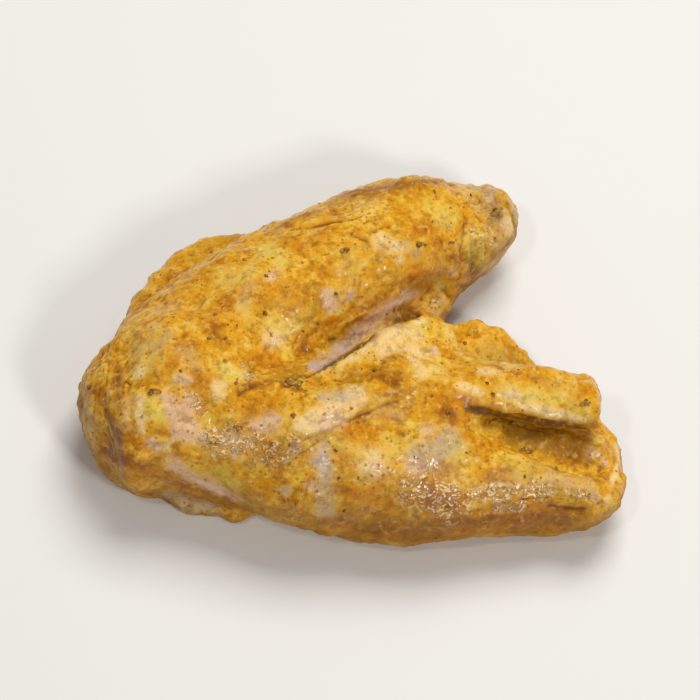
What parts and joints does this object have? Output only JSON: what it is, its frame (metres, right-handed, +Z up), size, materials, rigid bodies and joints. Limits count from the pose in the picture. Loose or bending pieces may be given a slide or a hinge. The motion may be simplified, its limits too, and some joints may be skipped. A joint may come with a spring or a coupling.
{
  "type": "raw chicken wing",
  "caption": "Raw marinated chicken wing without its tip: flat and drumette folded into a V at the elbow, lying flat, with loose skin at the open end.",
  "frame": {"origin": "on the table, under the middle of the wing's box", "axes": "+X from the elbow towards the open end of the V, +Y towards the flat, +Z up from the table"},
  "size_m": [0.0932, 0.0686, 0.0254],
  "materials": {
    "marinated_skin": "wet oily poultry skin and meat, uneven yellow spice marinade with dark specks, soft gloss"
  },
  "bodies": {
    "root": {"wing": "marinated_skin"}
  },
  "joints": []
}
